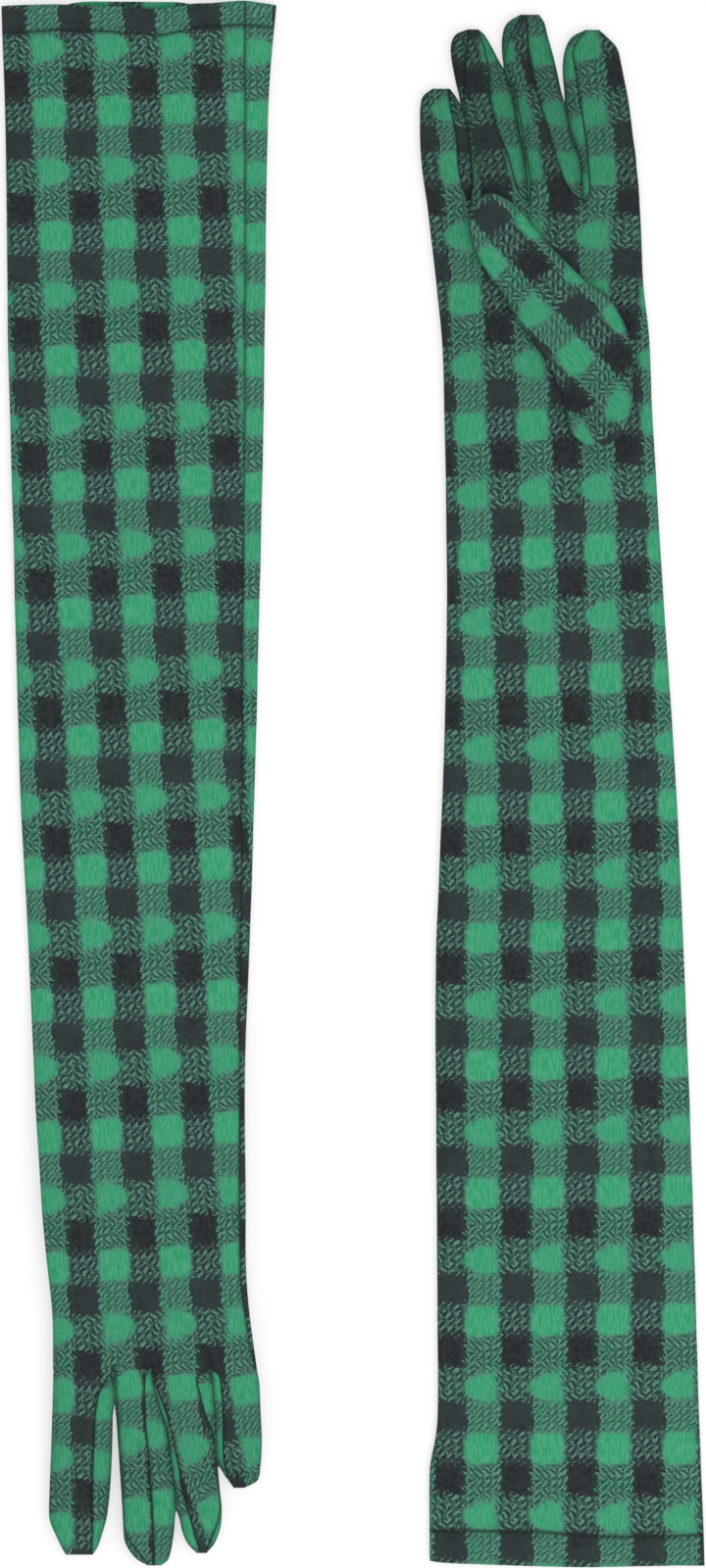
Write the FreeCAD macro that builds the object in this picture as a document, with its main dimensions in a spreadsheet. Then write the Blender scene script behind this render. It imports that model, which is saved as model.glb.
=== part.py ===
import FreeCAD, Part
import os
import Sketcher

# A pair of opera-length dress gloves in stretch jersey, laid out flat, one pointing each way.
# +Z is up, and the gloves lie on z = 0.  Both gloves are built in one glove frame: fingers to +Y, the
# index finger to +X, the cuff at -Y.  The right glove stands in it as it is, palm up.  The left glove is
# turned half a turn about Z, palm down, with its thumb folded underneath.  All lengths are in mm.

sizes = {
    # along the glove, from the middle of the layout
    "cuff_reach": 334,
    "upper_run": 215,
    "bicep_run": 64,
    "forearm_run": 264,
    "hand_run": 105,
    "ramp_run": 70,
    # flat widths
    "cuff_width": 117.6,
    "bicep_width": 110.5,
    "elbow_width": 107,
    "wrist_width": 89,
    # places of the sleeve's middle line across the layout
    "cuff_middle": 91.6,
    "elbow_middle": 92.2,
    "right_wrist_middle": 84.4,
    "left_wrist_middle": 88.4,
    "right_knuckle_middle": 76.7,
    "left_knuckle_middle": 84.6,
    # cloth and how it lies
    "cloth": 0.6,
    "lie_height": 8,
    "fold_gap": 0.3,
    "ply_gap": 0.1,
    "hem_depth": 12,
    # seams
    "stitch_length": 2.2,
    "stitch_width": 0.5,
    "stitch_rise": 0.2,
    "stitch_pitch": 4.2,
    "stitch_inset": 1.5,
    "seam_width": 5,
    "seam_rise": 1.2,
    "cuff_seam_inset": 13,
    "elbow_seam_inset": 9,
    "wrist_seam_inset": 8,
    "knuckle_seam_inset": 8,
    # thumb, along its own middle line from its pivot
    "pivot_inset": 22.9,
    "pivot_from_wrist": 15,
    "thumb_angle": 28,
    "thumb_height": 5.8,
    "thumb_room": 0.7,
    "thumb_base_radius": 12,
    "swell_run": 25,
    "swell_outer": 23.5,
    "swell_inner": 10,
    "bend_run": 40,
    "bend_outer": 22.5,
    "bend_inner": 8.5,
    "thumb_shoulder_run": 84,
    "thumb_shoulder_outer": 12,
    "thumb_shoulder_inner": 15,
    "thumb_tip_run": 99.5,
    "thumb_tip_outer": 3,
    "thumb_tip_inner": 7,
    "hole_width": 14,
    "hole_length": 26,
    "hole_ahead": 5,
    "hole_seam_width": 2.5,
    # fingers
    "finger_gap": 1,
    "web_run": 12,
    "shoulder_drop": 13,
    "little_root_width": 20,
    "ring_root_width": 22,
    "middle_root_width": 20,
    "index_root_width": 24.5,
    "little_shoulder_width": 15,
    "ring_shoulder_width": 18.5,
    "middle_shoulder_width": 20,
    "index_shoulder_width": 23.5,
    "little_tip_width": 9,
    "ring_tip_width": 10,
    "middle_tip_width": 10,
    "index_tip_width": 13,
    "left_finger_droop": 3.1,
    "right_little_length": 47.5,
    "right_ring_length": 73.5,
    "right_middle_length": 80,
    "right_index_length": 75,
    "left_little_length": 51,
    "left_ring_length": 81.5,
    "left_middle_length": 83.5,
    "left_index_length": 80,
    "right_little_lean": -0.16,
    "right_ring_lean": -0.23,
    "right_middle_lean": -0.16,
    "right_index_lean": -0.13,
    "left_little_lean": -0.03,
    "left_ring_lean": -0.1,
    "left_middle_lean": -0.115,
    "left_index_lean": 0,
}

fingers = ["little", "ring", "middle", "index"]
origin = FreeCAD.Vector(0, 0, 0)
upward = FreeCAD.Vector(0, 0, 1)
quarter = 1.5707963267948966

doc = FreeCAD.newDocument("OperaGloves")
sheet = doc.addObject("Spreadsheet::Sheet", "Sizes")
for row, (name, size) in enumerate(sizes.items(), start=1):
    sheet.set(f"A{row}", name)
    sheet.set(f"B{row}", str(size))
    sheet.setAlias(f"B{row}", name)
doc.recompute()

nodes = []


# Expressions are text for the document to work out: cell() names a size, and the rest join them.
def cell(name):
    return f"Sizes.{name}"


elbowPlace = f"(-{cell('cuff_reach')}+{cell('upper_run')})"
wristPlace = f"({elbowPlace}+{cell('forearm_run')})"
knucklePlace = f"({wristPlace}+{cell('hand_run')})"
halfGap = f"{cell('fold_gap')}/2"
allGaps = f"{len(fingers) - 1}*{cell('finger_gap')}"
knuckleWidth = "(" + "+".join(cell(f"{finger}_root_width") for finger in fingers) + f"+{allGaps})"
# The left hand lies on its own thumb, so it is lifted by the thumb and some room for it to swing out,
# and its fingers droop towards the floor.
lifts = {"right": "0", "left": f"({cell('thumb_height')}+{cell('thumb_room')})"}
droops = {"right": "0", "left": cell("left_finger_droop")}
halfTurn = "placement(vector(0;0;0);rotation(vector(0;0;1);180))"
gloveFrames = {"right": "placement(vector(0;0;0);rotation(vector(0;0;1);0))", "left": halfTurn}


def newBody(name, placement):
    body = doc.addObject("PartDesign::Body", name)
    body.Label = name
    body.setExpression("Placement", placement)
    nodes.append(body)
    return body


def newSketch(body, name, role, offset="0"):
    sketch = body.newObject("Sketcher::SketchObject", name)
    plane = next(part for part in body.Origin.OriginFeatures if part.Role == role)
    sketch.AttachmentSupport = [(plane, "")]
    sketch.MapMode = "FlatFace"
    sketch.setExpression("AttachmentOffset.Base.z", offset)
    return sketch


def bind(sketch, kind, edge, end, start, expression):
    if end:
        index = sketch.addConstraint(Sketcher.Constraint(kind, edge, end, start))
    else:
        index = sketch.addConstraint(Sketcher.Constraint(kind, edge, start))
    sketch.setExpression(f"Constraints[{index}]", expression)


# A closed outline of straight edges, whose corners stand where the expressions say.
# With a round base, the last corner is joined to the first by an arc about the sketch's origin.
def outline(sketch, corners, roundBase=False):
    count = len(corners)
    sweep = 2 * quarter / (count - 1) if roundBase else 4 * quarter / count
    first = sketch.GeometryCount
    points = []
    for place in range(count):
        turn = FreeCAD.Rotation(upward, FreeCAD.Units.Quantity(f"{place * sweep} rad"))
        points.append(turn.multVec(FreeCAD.Vector(10, 0, 0)))
    edges = [Part.LineSegment(points[place], points[place + 1]) for place in range(count - 1)]
    if roundBase:
        edges.append(Part.ArcOfCircle(Part.Circle(origin, upward, 10), 2 * quarter, 4 * quarter))
    else:
        edges.append(Part.LineSegment(points[-1], points[0]))
    sketch.addGeometry(edges, False)
    for place in range(count):
        following = (place + 1) % count
        sketch.addConstraint(Sketcher.Constraint("Coincident", first + place, 2, first + following, 1))
    if roundBase:
        sketch.addConstraint(Sketcher.Constraint("PointOnObject", first + count - 1, 3, -1))
    for place, (across, along) in enumerate(corners):
        bind(sketch, "DistanceX", first + place, 1, points[place].x, across)
        bind(sketch, "DistanceY", first + place, 1, points[place].y, along)


# A flat loop of cloth in section: two straight plies joined by half-round folds.
def loop(sketch, middle, centre, width, height, upright=False):
    first = sketch.GeometryCount
    reach, radius = 40, 4
    turn = quarter if upright else 0
    spin = FreeCAD.Rotation(upward, 90 if upright else 0)
    ends = [spin.multVec(FreeCAD.Vector(side * reach, 0, 0)) for side in (1, -1)]
    corners = [spin.multVec(FreeCAD.Vector(across * reach, along * radius, 0))
               for across, along in ((-1, 1), (1, 1), (1, -1), (-1, -1))]
    sketch.addGeometry([
        Part.LineSegment(corners[1], corners[0]),
        Part.ArcOfCircle(Part.Circle(ends[1], upward, radius), turn + quarter, turn + 3 * quarter),
        Part.LineSegment(corners[3], corners[2]),
        Part.ArcOfCircle(Part.Circle(ends[0], upward, radius), turn - quarter, turn + quarter),
    ], False)
    for place in range(4):
        edge, following = first + place, first + (place + 1) % 4
        sketch.addConstraint(Sketcher.Constraint("Tangent", edge, 2, following, 1))
    sketch.addConstraint(Sketcher.Constraint("Vertical" if upright else "Horizontal", first))
    sketch.addConstraint(Sketcher.Constraint("Equal", first + 1, first + 3))
    bind(sketch, "Radius", first + 3, 0, radius, f"({height})/2")
    half = f"(({width})-({height}))/2"
    if upright:
        bind(sketch, "DistanceX", first + 3, 3, 0.001, middle)
        bind(sketch, "DistanceY", first + 3, 3, reach, f"({centre})+{half}")
        bind(sketch, "DistanceY", first + 1, 3, -reach, f"({centre})-{half}")
    else:
        bind(sketch, "DistanceX", first + 3, 3, reach, f"({middle})+{half}")
        bind(sketch, "DistanceX", first + 1, 3, -reach, f"({middle})-{half}")
        bind(sketch, "DistanceY", first + 3, 3, 0.001, centre)


def addLoft(body, name, sections):
    loft = body.newObject("PartDesign::AdditiveLoft", name)
    loft.Profile = sections[0]
    loft.Sections = sections[1:]
    loft.Ruled = True
    return loft


def addPad(body, name, sketch, length):
    pad = body.newObject("PartDesign::Pad", name)
    pad.Profile = sketch
    pad.setExpression("Length", length)
    return pad


# A pocket cuts downward from its sketch.
def addPocket(body, name, sketch, length):
    pocket = body.newObject("PartDesign::Pocket", name)
    pocket.Profile = sketch
    pocket.setExpression("Length", length)
    return pocket


# Stations run up the glove.  Each holds its place, the middle line, the flat width, the lift off the
# floor and how far the side seam lies in from the little finger's edge.
def stationsOf(side):
    lift = lifts[side]
    hemShare = f"({cell('hem_depth')}+{cell('ply_gap')})/{cell('bicep_run')}"
    hemTopWidth = f"({cell('cuff_width')}+({cell('bicep_width')}-{cell('cuff_width')})*{hemShare})"
    wristMiddle = cell(f"{side}_wrist_middle")
    knuckleMiddle = cell(f"{side}_knuckle_middle")
    share = f"{cell('ramp_run')}/{cell('forearm_run')}"
    rampMiddle = f"({wristMiddle}+({cell('elbow_middle')}-{wristMiddle})*{share})"
    rampWidth = f"({cell('wrist_width')}+({cell('elbow_width')}-{cell('wrist_width')})*{share})"
    cuff = (f"-{cell('cuff_reach')}", cell("cuff_middle"), cell("cuff_width"), "0", cell("cuff_seam_inset"))
    hemTop = (f"-{cell('cuff_reach')}+{cell('hem_depth')}+{cell('ply_gap')}", cell("cuff_middle"), hemTopWidth,
              "0", cell("cuff_seam_inset"))
    bicep = (f"-{cell('cuff_reach')}+{cell('bicep_run')}", cell("cuff_middle"), cell("bicep_width"), "0",
             cell("cuff_seam_inset"))
    elbow = (cell("elbow_middle"), cell("elbow_width"), "0", cell("elbow_seam_inset"))
    ramp = (f"{wristPlace}-{cell('ramp_run')}", rampMiddle, rampWidth, "0", cell("wrist_seam_inset"))
    wrist = (wristMiddle, cell("wrist_width"), lift, cell("wrist_seam_inset"))
    knuckle = (knuckleMiddle, knuckleWidth, lift, cell("knuckle_seam_inset"))
    return {
        "hem": [cuff, hemTop],
        "upper_sleeve": [cuff, bicep, (f"{elbowPlace}-{halfGap}",) + elbow],
        "forearm": [(f"{elbowPlace}+{halfGap}",) + elbow, ramp, (f"{wristPlace}-{halfGap}",) + wrist],
        "hand": [(f"{wristPlace}+{halfGap}",) + wrist, (f"{knucklePlace}-{halfGap}",) + knuckle],
    }


# A stretch of the trank, the one piece of cloth that makes the sleeve, palm and back of the hand.
def makeTrank(side, stretch, stations):
    body = newBody(f"{side}_{stretch}", gloveFrames[side])
    sections = []
    for number, (place, middle, width, lift, _) in enumerate(stations):
        section = newSketch(body, f"{body.Name}_section{number}", "XZ_Plane", f"-({place})")
        centre = f"{lift}+{cell('lie_height')}/2"
        inside = f"{cell('lie_height')}-2*{cell('cloth')}"
        loop(section, middle, centre, width, cell("lie_height"))
        loop(section, middle, centre, f"{width}-2*{cell('cloth')}", inside)
        sections.append(section)
    addLoft(body, f"{body.Name}_cloth", sections)
    return body


# The side seam's allowance lies inside, on the ply that is the back of the hand.
def makeSideSeam(side, stretch, stations):
    body = newBody(f"{side}_{stretch}_side_seam", gloveFrames[side])
    sections = []
    for number, (place, middle, width, lift, inset) in enumerate(stations):
        section = newSketch(body, f"{body.Name}_section{number}", "XZ_Plane", f"-({place})")
        outer = f"{middle}-{width}/2+{inset}-{cell('seam_width')}/2"
        if side == "right":
            low = f"{lift}+{cell('cloth')}"
        else:
            low = f"{lift}+{cell('lie_height')}-{cell('cloth')}-{cell('seam_rise')}"
        inner = f"{outer}+{cell('seam_width')}"
        high = f"{low}+{cell('seam_rise')}"
        outline(section, [(inner, high), (outer, high), (outer, low), (inner, low)])
        sections.append(section)
    addLoft(body, f"{body.Name}_allowance", sections)


# The turned hem is a shorter ring of the same cloth inside the mouth of the sleeve.
def makeHem(side, stations):
    body = newBody(f"{side}_hem_turning", gloveFrames[side])
    inset = f"2*({cell('cloth')}+{cell('ply_gap')})"
    sections = []
    for number, (place, middle, width, _, _) in enumerate(stations):
        end = f"{place}-{cell('ply_gap')}" if number else place
        section = newSketch(body, f"{body.Name}_section{number}", "XZ_Plane", f"-({end})")
        centre = f"{cell('lie_height')}/2"
        outside = f"{cell('lie_height')}-{inset}"
        loop(section, middle, centre, f"{width}-{inset}", outside)
        loop(section, middle, centre, f"{width}-{inset}-2*{cell('cloth')}", f"{outside}-2*{cell('cloth')}")
        sections.append(section)
    addLoft(body, f"{body.Name}_ring", sections)


# Stitches hold the hem: a row outside on the upper ply, and the same row seen inside on the lower ply.
def makeHemStitching(side):
    body = newBody(f"{side}_hem_stitching", gloveFrames[side])
    rowWidth = f"({cell('bicep_width')}-2*{cell('lie_height')})"
    start = f"{cell('cuff_middle')}-{rowWidth}/2"
    near = f"-{cell('cuff_reach')}+{cell('hem_depth')}-{cell('stitch_inset')}"
    inside = f"2*{cell('cloth')}+{cell('ply_gap')}"
    for name, level in (("outer", cell("lie_height")), ("inner", inside)):
        plan = newSketch(body, f"{body.Name}_{name}_plan", "XY_Plane", level)
        right = f"{start}+{cell('stitch_length')}"
        back = f"{near}-{cell('stitch_width')}"
        outline(plan, [(right, near), (start, near), (start, back), (right, back)])
        stitch = addPad(body, f"{body.Name}_{name}_stitch", plan, cell("stitch_rise"))
        doc.recompute()
        row = body.newObject("PartDesign::LinearPattern", f"{body.Name}_{name}_row")
        row.Originals = [stitch]
        row.Direction = (plan, ["H_Axis"])
        row.setExpression("Length", f"{rowWidth}-{cell('stitch_length')}")
        row.setExpression("Occurrences", f"floor({rowWidth}/{cell('stitch_pitch')})")
        body.Tip = row
        doc.recompute()


# The thumb's pivot is set in from the wrist's edge on the index finger's side.
def pivotPlace(side):
    across = f"({cell(f'{side}_wrist_middle')}+{cell('wrist_width')}/2-{cell('pivot_inset')})"
    return across, f"({wristPlace}+{cell('pivot_from_wrist')})"


def holePlace(side):
    across, along = pivotPlace(side)
    return across, f"({along}+{cell('hole_ahead')})"


# The thumb is set in over a hole in the palm: the upper ply on the right glove, the lower on the left.
def cutThumbHole(side, hand):
    across, along = holePlace(side)
    top = {"right": cell("lie_height"), "left": f"{lifts[side]}+{cell('cloth')}"}[side]
    plan = newSketch(hand, f"{hand.Name}_hole_plan", "XY_Plane", top)
    loop(plan, across, along, cell("hole_length"), cell("hole_width"), upright=True)
    addPocket(hand, f"{hand.Name}_thumb_hole", plan, cell("cloth"))


# The allowance of the thumb's seam is a ring of cloth round the hole, on the inside of the palm.
def makeThumbSeam(side):
    body = newBody(f"{side}_thumb_seam", gloveFrames[side])
    across, along = holePlace(side)
    cloth = cell("cloth")
    level = {"right": f"{cell('lie_height')}-2*{cloth}", "left": f"{lifts[side]}+{cloth}"}[side]
    plan = newSketch(body, f"{body.Name}_plan", "XY_Plane", level)
    extra = f"2*{cell('hole_seam_width')}"
    loop(plan, across, along, f"{cell('hole_length')}+{extra}", f"{cell('hole_width')}+{extra}", upright=True)
    loop(plan, across, along, cell("hole_length"), cell("hole_width"), upright=True)
    addPad(body, f"{body.Name}_ring", plan, cloth)


# The thumb turns about its pivot, at the middle of its round base.  Its own frame has the pivot at the
# origin and its middle line along +Y, and lies at the palm on the right glove and on the floor on the left.
def makeThumb(side):
    level = {"right": f"({cell('lie_height')}+{cell('fold_gap')})", "left": "0"}[side]
    across, along = pivotPlace(side)
    place = f"placement(vector({across};{along};{level});rotation(vector(0;0;1);{cell('thumb_angle')}))"
    body = newBody(f"{side}_thumb", f"{gloveFrames[side]}*{place}")
    cloth = cell("cloth")

    def planCorners(inset):
        def outer(name):
            return f"{cell(name)}-{inset}"

        def inner(name):
            return f"-({cell(name)}-{inset})"

        tip = f"{cell('thumb_tip_run')}-{inset}"
        return [
            (outer("thumb_base_radius"), "0"),
            (outer("swell_outer"), cell("swell_run")),
            (outer("bend_outer"), cell("bend_run")),
            (outer("thumb_shoulder_outer"), cell("thumb_shoulder_run")),
            (outer("thumb_tip_outer"), tip),
            (inner("thumb_tip_inner"), tip),
            (inner("thumb_shoulder_inner"), cell("thumb_shoulder_run")),
            (inner("bend_inner"), cell("bend_run")),
            (inner("swell_inner"), cell("swell_run")),
            (inner("thumb_base_radius"), "0"),
        ]

    plan = newSketch(body, f"{body.Name}_plan", "XY_Plane")
    outline(plan, planCorners("0"), roundBase=True)
    addPad(body, f"{body.Name}_cloth", plan, cell("thumb_height"))
    inside = newSketch(body, f"{body.Name}_inside_plan", "XY_Plane", f"{cell('thumb_height')}-{cloth}")
    outline(inside, planCorners(cloth), roundBase=True)
    addPocket(body, f"{body.Name}_inside", inside, f"{cell('thumb_height')}-2*{cloth}")
    # The hole's sketch is turned back, so that it lines up with the hole in the palm.
    holeTop = {"right": cloth, "left": cell("thumb_height")}[side]
    hole = newSketch(body, f"{body.Name}_hole_plan", "XY_Plane", holeTop)
    hole.AttachmentOffset = FreeCAD.Placement(origin, FreeCAD.Rotation(upward, -sizes["thumb_angle"]))
    hole.setExpression("AttachmentOffset.Base.z", holeTop)
    hole.setExpression("AttachmentOffset.Rotation.Angle", f"-{cell('thumb_angle')}")
    loop(hole, "0", cell("hole_ahead"), cell("hole_length"), cell("hole_width"), upright=True)
    addPocket(body, f"{body.Name}_hole", hole, cloth)


# One finger's four stations, from its root to its tip: place, left edge and right edge.  Its own frame
# has y = 0 on the knuckle fold and z = 0 on the upper face, where the fold's hinge line lies.  It runs
# straight as far as the web, so that it passes its neighbours when it folds, and leans beyond that.
def fingerStations(side, finger):
    number = fingers.index(finger)
    length = cell(f"{side}_{finger}_length")
    web = cell("web_run")
    rootWidth = cell(f"{finger}_root_width")
    start = f"({halfGap}+{cell('lie_height')}*{droops[side]}/{length})"
    before = "".join(f"+{cell(f'{other}_root_width')}" for other in fingers[:number])
    left = f"({cell(f'{side}_knuckle_middle')}-{knuckleWidth}/2{before}+{number}*{cell('finger_gap')})"
    stations = [(place, left, f"({left}+{rootWidth})") for place in (start, web)]
    shoulder = f"({length}-{cell('shoulder_drop')})"
    for name, place in (("shoulder", shoulder), ("tip", length)):
        middle = f"({left}+{rootWidth}/2+{cell(f'{side}_{finger}_lean')}*({place}-{web}))"
        half = f"{cell(f'{finger}_{name}_width')}/2"
        stations.append((place, f"({middle}-{half})", f"({middle}+{half})"))
    return stations


def fingerBody(side, finger, name):
    length = cell(f"{side}_{finger}_length")
    level = f"{lifts[side]}+{cell('lie_height')}"
    pitch = f"-asin({droops[side]}/{length})"
    place = f"placement(vector(0;{knucklePlace};{level});rotation(vector(1;0;0);{pitch}))"
    return newBody(f"{side}_{name}", f"{gloveFrames[side]}*{place}")


def ringOf(stations):
    rightEdge = [(right, place) for place, _, right in stations]
    leftEdge = [(left, place) for place, left, _ in stations]
    return rightEdge + leftEdge[::-1]


# One face of a finger, a tongue of the trank.
def makeFingerFace(side, finger, face):
    body = fingerBody(side, finger, f"{finger}_{face}_face")
    upper = (face == "palm") == (side == "right")
    level = f"-{cell('cloth')}" if upper else f"-{cell('lie_height')}"
    plan = newSketch(body, f"{body.Name}_plan", "XY_Plane", level)
    outline(plan, ringOf(fingerStations(side, finger)))
    addPad(body, f"{body.Name}_cloth", plan, cell("cloth"))


# The index and little fingers' faces are one tongue, folded along the glove's outer edge.
def makeFoldedFinger(side, finger):
    body = fingerBody(side, finger, f"{finger}_folded_face")
    stations = fingerStations(side, finger)
    cloth = cell("cloth")
    plan = newSketch(body, f"{body.Name}_plan", "XY_Plane", f"-{cell('lie_height')}")
    outline(plan, ringOf(stations))
    addPad(body, f"{body.Name}_cloth", plan, cell("lie_height"))
    inside = newSketch(body, f"{body.Name}_inside_plan", "XY_Plane", f"-{cloth}")
    # The inside runs out past the root and past the edge that the fourchette closes.
    leftInset, rightInset = ("-1", cloth) if finger == "index" else (cloth, "-1")
    room = []
    for number, (place, left, right) in enumerate(stations):
        shift = {0: "-1", len(stations) - 1: f"-{cloth}"}.get(number, "")
        room.append((f"{place}{shift}", f"{left}+{leftInset}", f"{right}-{rightInset}"))
    outline(inside, ringOf(room))
    addPocket(body, f"{body.Name}_inside", inside, f"{cell('lie_height')}-2*{cloth}")


# A fourchette is the narrow strip between a finger's two faces, up one side and over half of the tip.
def makeFourchette(side, finger, edge):
    other = {"left": "little_side", "right": "index_side"}[edge]
    body = fingerBody(side, finger, f"{finger}_{other}_fourchette")
    stations = fingerStations(side, finger)
    cloth = cell("cloth")
    tipPlace, tipLeft, tipRight = stations[-1]
    tipMiddle = f"({tipLeft}+{tipRight})/2"
    pick, sign = (1, "+") if edge == "left" else (2, "-")
    folded = finger in ("index", "little")
    outside = [(station[pick], station[0]) for station in stations]
    inside = [(f"{station[pick]}{sign}{cloth}", station[0]) for station in stations]
    inside[-1] = (inside[-1][0], f"{tipPlace}-{cloth}")
    if folded:
        outside[-1] = (outside[-1][0], f"{tipPlace}-{cloth}")
        corners = outside + inside[::-1]
    else:
        overTip = [(f"{tipMiddle}{'-' if edge == 'left' else '+'}{cell('ply_gap')}/2", place)
                   for place in (tipPlace, f"{tipPlace}-{cloth}")]
        corners = outside + overTip + inside[::-1]
    plan = newSketch(body, f"{body.Name}_plan", "XY_Plane", f"-{cell('lie_height')}+{cloth}")
    outline(plan, corners)
    addPad(body, f"{body.Name}_strip", plan, f"{cell('lie_height')}-2*{cloth}")


def makeGlove(side):
    stations = stationsOf(side)
    makeTrank(side, "upper_sleeve", stations["upper_sleeve"])
    makeSideSeam(side, "upper_sleeve", stations["hem"][1:] + stations["upper_sleeve"][1:])
    makeTrank(side, "forearm", stations["forearm"])
    makeSideSeam(side, "forearm", stations["forearm"])
    hand = makeTrank(side, "hand", stations["hand"])
    doc.recompute()
    cutThumbHole(side, hand)
    makeSideSeam(side, "hand", stations["hand"])
    makeHem(side, stations["hem"])
    makeHemStitching(side)
    makeThumb(side)
    makeThumbSeam(side)
    for finger in ("index", "little"):
        makeFoldedFinger(side, finger)
        makeFourchette(side, finger, "left" if finger == "index" else "right")
    for finger in ("middle", "ring"):
        for face in ("palm", "back"):
            makeFingerFace(side, finger, face)
        for edge in ("left", "right"):
            makeFourchette(side, finger, edge)


for side in ("right", "left"):
    makeGlove(side)
doc.recompute()

for item in doc.Objects:
    if "Invalid" in item.State or "Error" in item.State:
        raise RuntimeError(f"{item.Label} failed: {item.State}")
for node in nodes:
    if node.Shape.isNull() or not node.Shape.isValid():
        raise RuntimeError(f"{node.Label} has no valid shape")

os.makedirs("parts", exist_ok=True)
for node in nodes:
    node.Shape.exportStep(f"parts/{node.Label}.step")
    box = node.Shape.BoundBox
    print(f"{node.Label}: {len(node.Shape.Solids)} solid(s), {node.Shape.Volume:.0f} mm3, "
          f"x {box.XMin:.1f}..{box.XMax:.1f} y {box.YMin:.1f}..{box.YMax:.1f} z {box.ZMin:.2f}..{box.ZMax:.2f}")
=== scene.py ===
import math
from functools import partial

import bmesh
import bpy
from mathutils import Matrix, Vector, noise


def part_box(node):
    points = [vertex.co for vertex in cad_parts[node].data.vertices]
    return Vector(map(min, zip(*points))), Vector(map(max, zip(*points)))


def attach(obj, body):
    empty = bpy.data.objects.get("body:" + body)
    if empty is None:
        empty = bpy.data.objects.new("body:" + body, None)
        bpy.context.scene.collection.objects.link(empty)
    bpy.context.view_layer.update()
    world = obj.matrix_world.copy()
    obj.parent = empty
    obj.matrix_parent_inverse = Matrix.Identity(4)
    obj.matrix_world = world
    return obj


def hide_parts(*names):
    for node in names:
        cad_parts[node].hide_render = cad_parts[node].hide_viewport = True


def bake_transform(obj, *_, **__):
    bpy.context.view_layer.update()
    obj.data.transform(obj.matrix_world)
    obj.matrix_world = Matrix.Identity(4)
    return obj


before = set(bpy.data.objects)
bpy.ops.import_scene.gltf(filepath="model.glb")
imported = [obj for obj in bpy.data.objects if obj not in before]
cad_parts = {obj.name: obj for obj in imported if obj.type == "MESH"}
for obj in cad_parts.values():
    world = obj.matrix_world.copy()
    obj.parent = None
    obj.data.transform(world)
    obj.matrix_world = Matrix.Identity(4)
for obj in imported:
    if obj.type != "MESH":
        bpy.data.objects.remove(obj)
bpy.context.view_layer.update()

# lengths are in mm until a mesh is written, and y runs towards the fingers
mm = 0.001
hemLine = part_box("right_upper_sleeve")[0].y / mm
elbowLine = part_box("right_forearm")[0].y / mm
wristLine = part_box("right_hand")[0].y / mm
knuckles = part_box("right_hand")[1].y / mm
halfway = (elbowLine + wristLine) / 2
midLine = 85  # x in the middle of a glove

# the stretch of cloth over each joint, from where it starts to where it stops
elbowFold = (elbowLine, elbowLine + 34)
wristFold = (wristLine - 4, wristLine + 8)
knuckleFold = (knuckles, knuckles + 15)
halfTurn = Matrix.Rotation(math.pi, 3, "Z")


def smoothLine(stations):
    # a soft curve through (along, value) pairs, straight past both ends
    where = [s[0] for s in stations]
    value = [s[1] for s in stations]
    last = len(stations) - 1
    slope = []
    for k in range(last + 1):
        a, b = max(k - 1, 0), min(k + 1, last)
        slope.append((value[b] - value[a]) / (where[b] - where[a]))

    def at(y):
        if y <= where[0]:
            return value[0] + slope[0] * (y - where[0])
        if y >= where[last]:
            return value[last] + slope[last] * (y - where[last])
        k = max(i for i in range(last) if where[i] <= y)
        span = where[k + 1] - where[k]
        t = (y - where[k]) / span
        return ((2 * t**3 - 3 * t**2 + 1) * value[k] + (t**3 - 2 * t**2 + t) * span * slope[k]
                + (3 * t**2 - 2 * t**3) * value[k + 1] + (t**3 - t**2) * span * slope[k + 1])

    return at


def sides(owner, y):
    return owner["left"](y), owner["right"](y)


def acrossAt(x, left, right):
    # -1 at the left edge and 1 at the right one
    return (2 * x - left - right) / (right - left)


def column(rows, index):
    return smoothLine([(row[0], row[index]) for row in rows])


def ease(a, b, x):
    # a soft step from 0 at a to 1 at b
    t = min(1, max(0, (x - a) / (b - a)))
    return t * t * (3 - 2 * t)


def spread(a, b, count):
    # closer together at both ends, where the cloth turns
    return [a + (b - a) * (1 - math.cos(math.pi * k / count)) / 2 for k in range(count)]


def crown(across, power):
    # 1 in the middle and 0 at both edges, squarer with a higher power
    return math.sqrt(max(0, 1 - min(1, abs(across)) ** power))


def bell(distance, width):
    return math.exp(-((distance / width) ** 2))


def bells(distance, pairs):
    # several dips or marks over each other, each as how much and how wide
    return sum(much * bell(distance, width) for much, width in pairs)


def ripple(x, y, seed, size):
    return noise.noise(Vector((x / size, y / size, seed)))


def layTurned(bm, glove):
    # the left glove lies the other way round
    if glove["turned"]:
        bmesh.ops.rotate(bm, verts=bm.verts, cent=(0, 0, 0), matrix=halfTurn)


def printOn(bm, where):
    # smooth faces, with the place of each point in the check
    printLayer = bm.loops.layers.uv.new("print")
    for face in bm.faces:
        face.smooth = True
        for loop in face.loops:
            loop[printLayer].uv = where(loop.vert)


def setDown(name, data):
    placed = bpy.data.objects.new(name, data)
    bpy.context.collection.objects.link(placed)
    return placed


def makePiece(name, bm):
    mesh = bpy.data.meshes.new(name)
    bm.to_mesh(mesh)
    bm.free()
    return setDown(name, mesh)


cloth = {"wall": 0.6, "seamWall": 0.5, "crispAngle": 70, "floorGap": 0.03}


def thicken(piece, thickness):
    # gives the cloth its wall, inwards, and keeps its cut edges crisp
    wall = piece.modifiers.new("wall", "SOLIDIFY")
    wall.thickness = thickness * mm
    wall.offset = -1
    settled = bpy.data.meshes.new_from_object(piece.evaluated_get(bpy.context.evaluated_depsgraph_get()))
    piece.modifiers.clear()
    piece.data = settled
    settled.set_sharp_from_angle(angle=math.radians(cloth["crispAngle"]))
    return piece


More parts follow.
